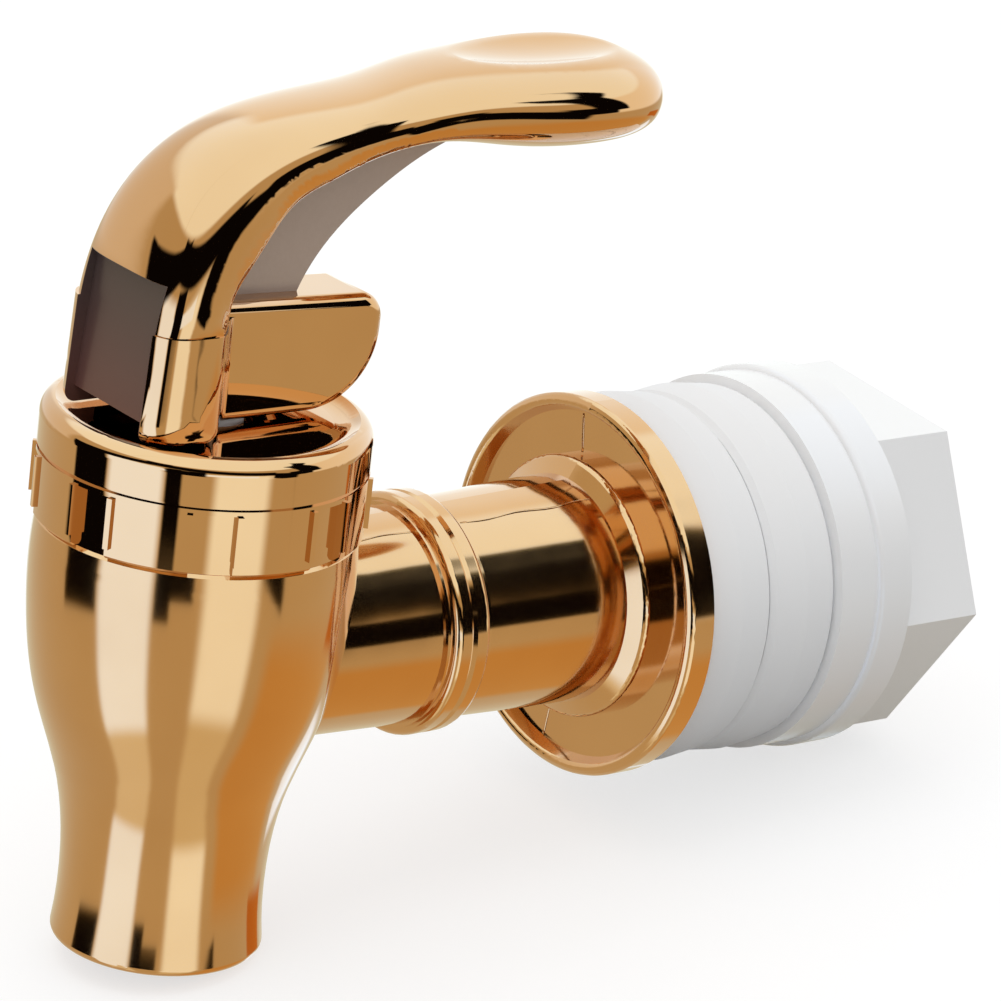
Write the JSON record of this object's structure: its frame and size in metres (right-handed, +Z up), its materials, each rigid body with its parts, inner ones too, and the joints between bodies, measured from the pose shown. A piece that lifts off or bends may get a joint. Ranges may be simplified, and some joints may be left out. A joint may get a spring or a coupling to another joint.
{
  "type": "beverage dispenser spigot",
  "caption": "Press-lever spigot with a rose gold spout body, swivelling lever valve, flanged shank, soft washers and a hex nut.",
  "frame": {"origin": "centre of the flange's back face, on the axis of the shank", "axes": "+X along the shank into the vessel, +Z up, spout hanging down at negative X"},
  "size_m": [0.0911, 0.0346, 0.0755],
  "materials": {
    "rose_gold_plate": "mirror plating on ABS",
    "white_silicone": "soft, translucent, satin",
    "natural_plastic": "translucent, satin",
    "spring_steel": "drawn wire"
  },
  "bodies": {
    "housing": {"faucet_body": "rose_gold_plate", "bonnet_cap": "rose_gold_plate", "bonnet_gasket": "white_silicone", "stem_guide": "natural_plastic", "stem_seal": "white_silicone", "outer_washer": "white_silicone"},
    "swivel": {"return_spring": "spring_steel"},
    "plunger": {"plunger_stem": "natural_plastic", "seat_plug": "white_silicone", "thrust_washer": "natural_plastic"},
    "handle": {"lever": "rose_gold_plate"},
    "clamp_ring": {"inner_washer": "white_silicone"},
    "nut": {"hex_nut": "natural_plastic"}
  },
  "joints": [
    {"name": "lever_swivel", "type": "hinge", "parent": "housing", "child": "swivel", "pos_m": [-0.043, 0, 0.018], "axis": [0, 0, 1], "continuous": true},
    {"name": "stem_lift", "type": "slide", "parent": "swivel", "child": "plunger", "axis": [0, 0, 1], "range_m": [0, 0.00376], "deforming": ["return_spring"]},
    {"name": "lever_press", "type": "hinge", "parent": "plunger", "child": "handle", "pos_m": [-0.043, 0, 0.02735], "axis": [0, 1, 0], "range_deg": [0, 28], "stiffness_Nm_per_rad": 0.03, "springref_deg": -5.73},
    {"name": "clamp_travel", "type": "slide", "parent": "housing", "child": "clamp_ring", "axis": [1, 0, 0], "range_m": [0, 0.0121]},
    {"name": "nut_turn", "type": "hinge", "parent": "clamp_ring", "child": "nut", "pos_m": [0.023, 0, 0], "axis": [1, 0, 0], "range_deg": [0, 2160]}
  ],
  "couplings": [
    {"joint": "stem_lift", "follows": "lever_press", "m_per_rad": 0.00766},
    {"joint": "clamp_travel", "follows": "nut_turn", "m_per_rad": 0.00031831}
  ]
}
